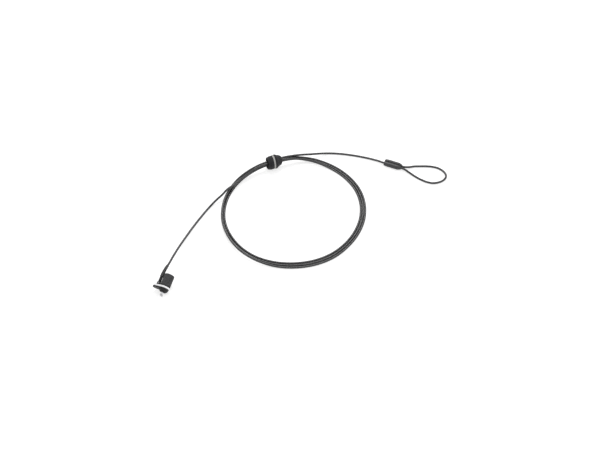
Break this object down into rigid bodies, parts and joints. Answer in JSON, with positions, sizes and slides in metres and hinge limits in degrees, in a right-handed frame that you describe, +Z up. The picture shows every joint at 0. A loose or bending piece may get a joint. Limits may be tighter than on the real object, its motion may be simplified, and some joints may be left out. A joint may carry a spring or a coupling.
{
  "type": "laptop cable lock",
  "caption": "Keyed T-bar lock head on a swivelling collar, with a coated steel cable wound in loops, tied with a strap and ended in a crimped eye.",
  "frame": {"origin": "centre of the bottom of the lock head's box, on the table, with the cable and what is on it left out", "axes": "+Z up from the table, -Y the way the lock's T-bar points, +X to the right of it seen from behind the lock"},
  "size_m": [0.3311, 0.383, 0.0212],
  "materials": {
    "sleeve_rubber": "matt moulded rubber, finely grained",
    "zinc_case": "die-cast zinc alloy, as cast",
    "bright_steel": "turned steel",
    "brass_plug": "machined brass",
    "brass_wafer": "stamped brass",
    "spring_steel": "spring steel",
    "nickel_steel": "nickel plated",
    "collar_metal": "satin plated, bright",
    "dark_paint": "black, half matt",
    "pad_rubber": "matt rubber",
    "boot_rubber": "matt rubber, ribbed",
    "dark_pin": "blackened steel",
    "cable_jacket": "vinyl coated steel cable, half matt",
    "ferrule_aluminium": "swaged aluminium",
    "cover_plastic": "moulded black plastic",
    "strap_fabric": "black hook-and-loop webbing",
    "stripe_fabric": "pale woven stripe"
  },
  "bodies": {
    "cable": {"cable_lock_tail": "cable_jacket", "cable_coil": "cable_jacket", "cable_loop_tail": "cable_jacket", "cable_eye": "cable_jacket", "cable_crimp_run": "cable_jacket", "ferrule": "ferrule_aluminium", "ferrule_cover": "cover_plastic", "strap": "strap_fabric", "strap_stripe": "stripe_fabric", "cable_link": "dark_paint", "cable_boot": "boot_rubber", "cable_end": "cable_jacket"},
    "collar": {"collar_plate": "collar_metal", "swivel_base": "dark_paint", "hinge_pin": "dark_pin"},
    "lock_body": {"body_sleeve": "sleeve_rubber", "lock_case": "zinc_case", "rear_bezel": "bright_steel", "stop_pin": "spring_steel", "wave_washer": "spring_steel", "nose_cap": "dark_paint", "face_pad": "pad_rubber", "slot_pins": "nickel_steel"},
    "plug": {"key_plug": "brass_plug", "spindle": "bright_steel", "t_bar": "nickel_steel", "wafer_springs": "spring_steel"},
    "wafer_set": {"wafers": "brass_wafer"}
  },
  "joints": [
    {"name": "cable_pivot", "type": "hinge", "parent": "cable", "child": "collar", "pos_m": [-0.00592, -0.00023, 0.0092], "axis": [0, 0.309, -0.9511], "range_deg": [0, 90]},
    {"name": "collar_swivel", "type": "hinge", "parent": "collar", "child": "lock_body", "pos_m": [0.00462, -0.00279, 0.00836], "axis": [0, -0.9511, -0.309], "continuous": true},
    {"name": "key_turn", "type": "hinge", "parent": "lock_body", "child": "plug", "pos_m": [0.00462, -0.00279, 0.00836], "axis": [0, -0.9511, -0.309], "range_deg": [0, 90]},
    {"name": "wafer_slide", "type": "slide", "parent": "plug", "child": "wafer_set", "axis": [0, -0.309, 0.9511], "range_m": [0, 0.0008]}
  ]
}
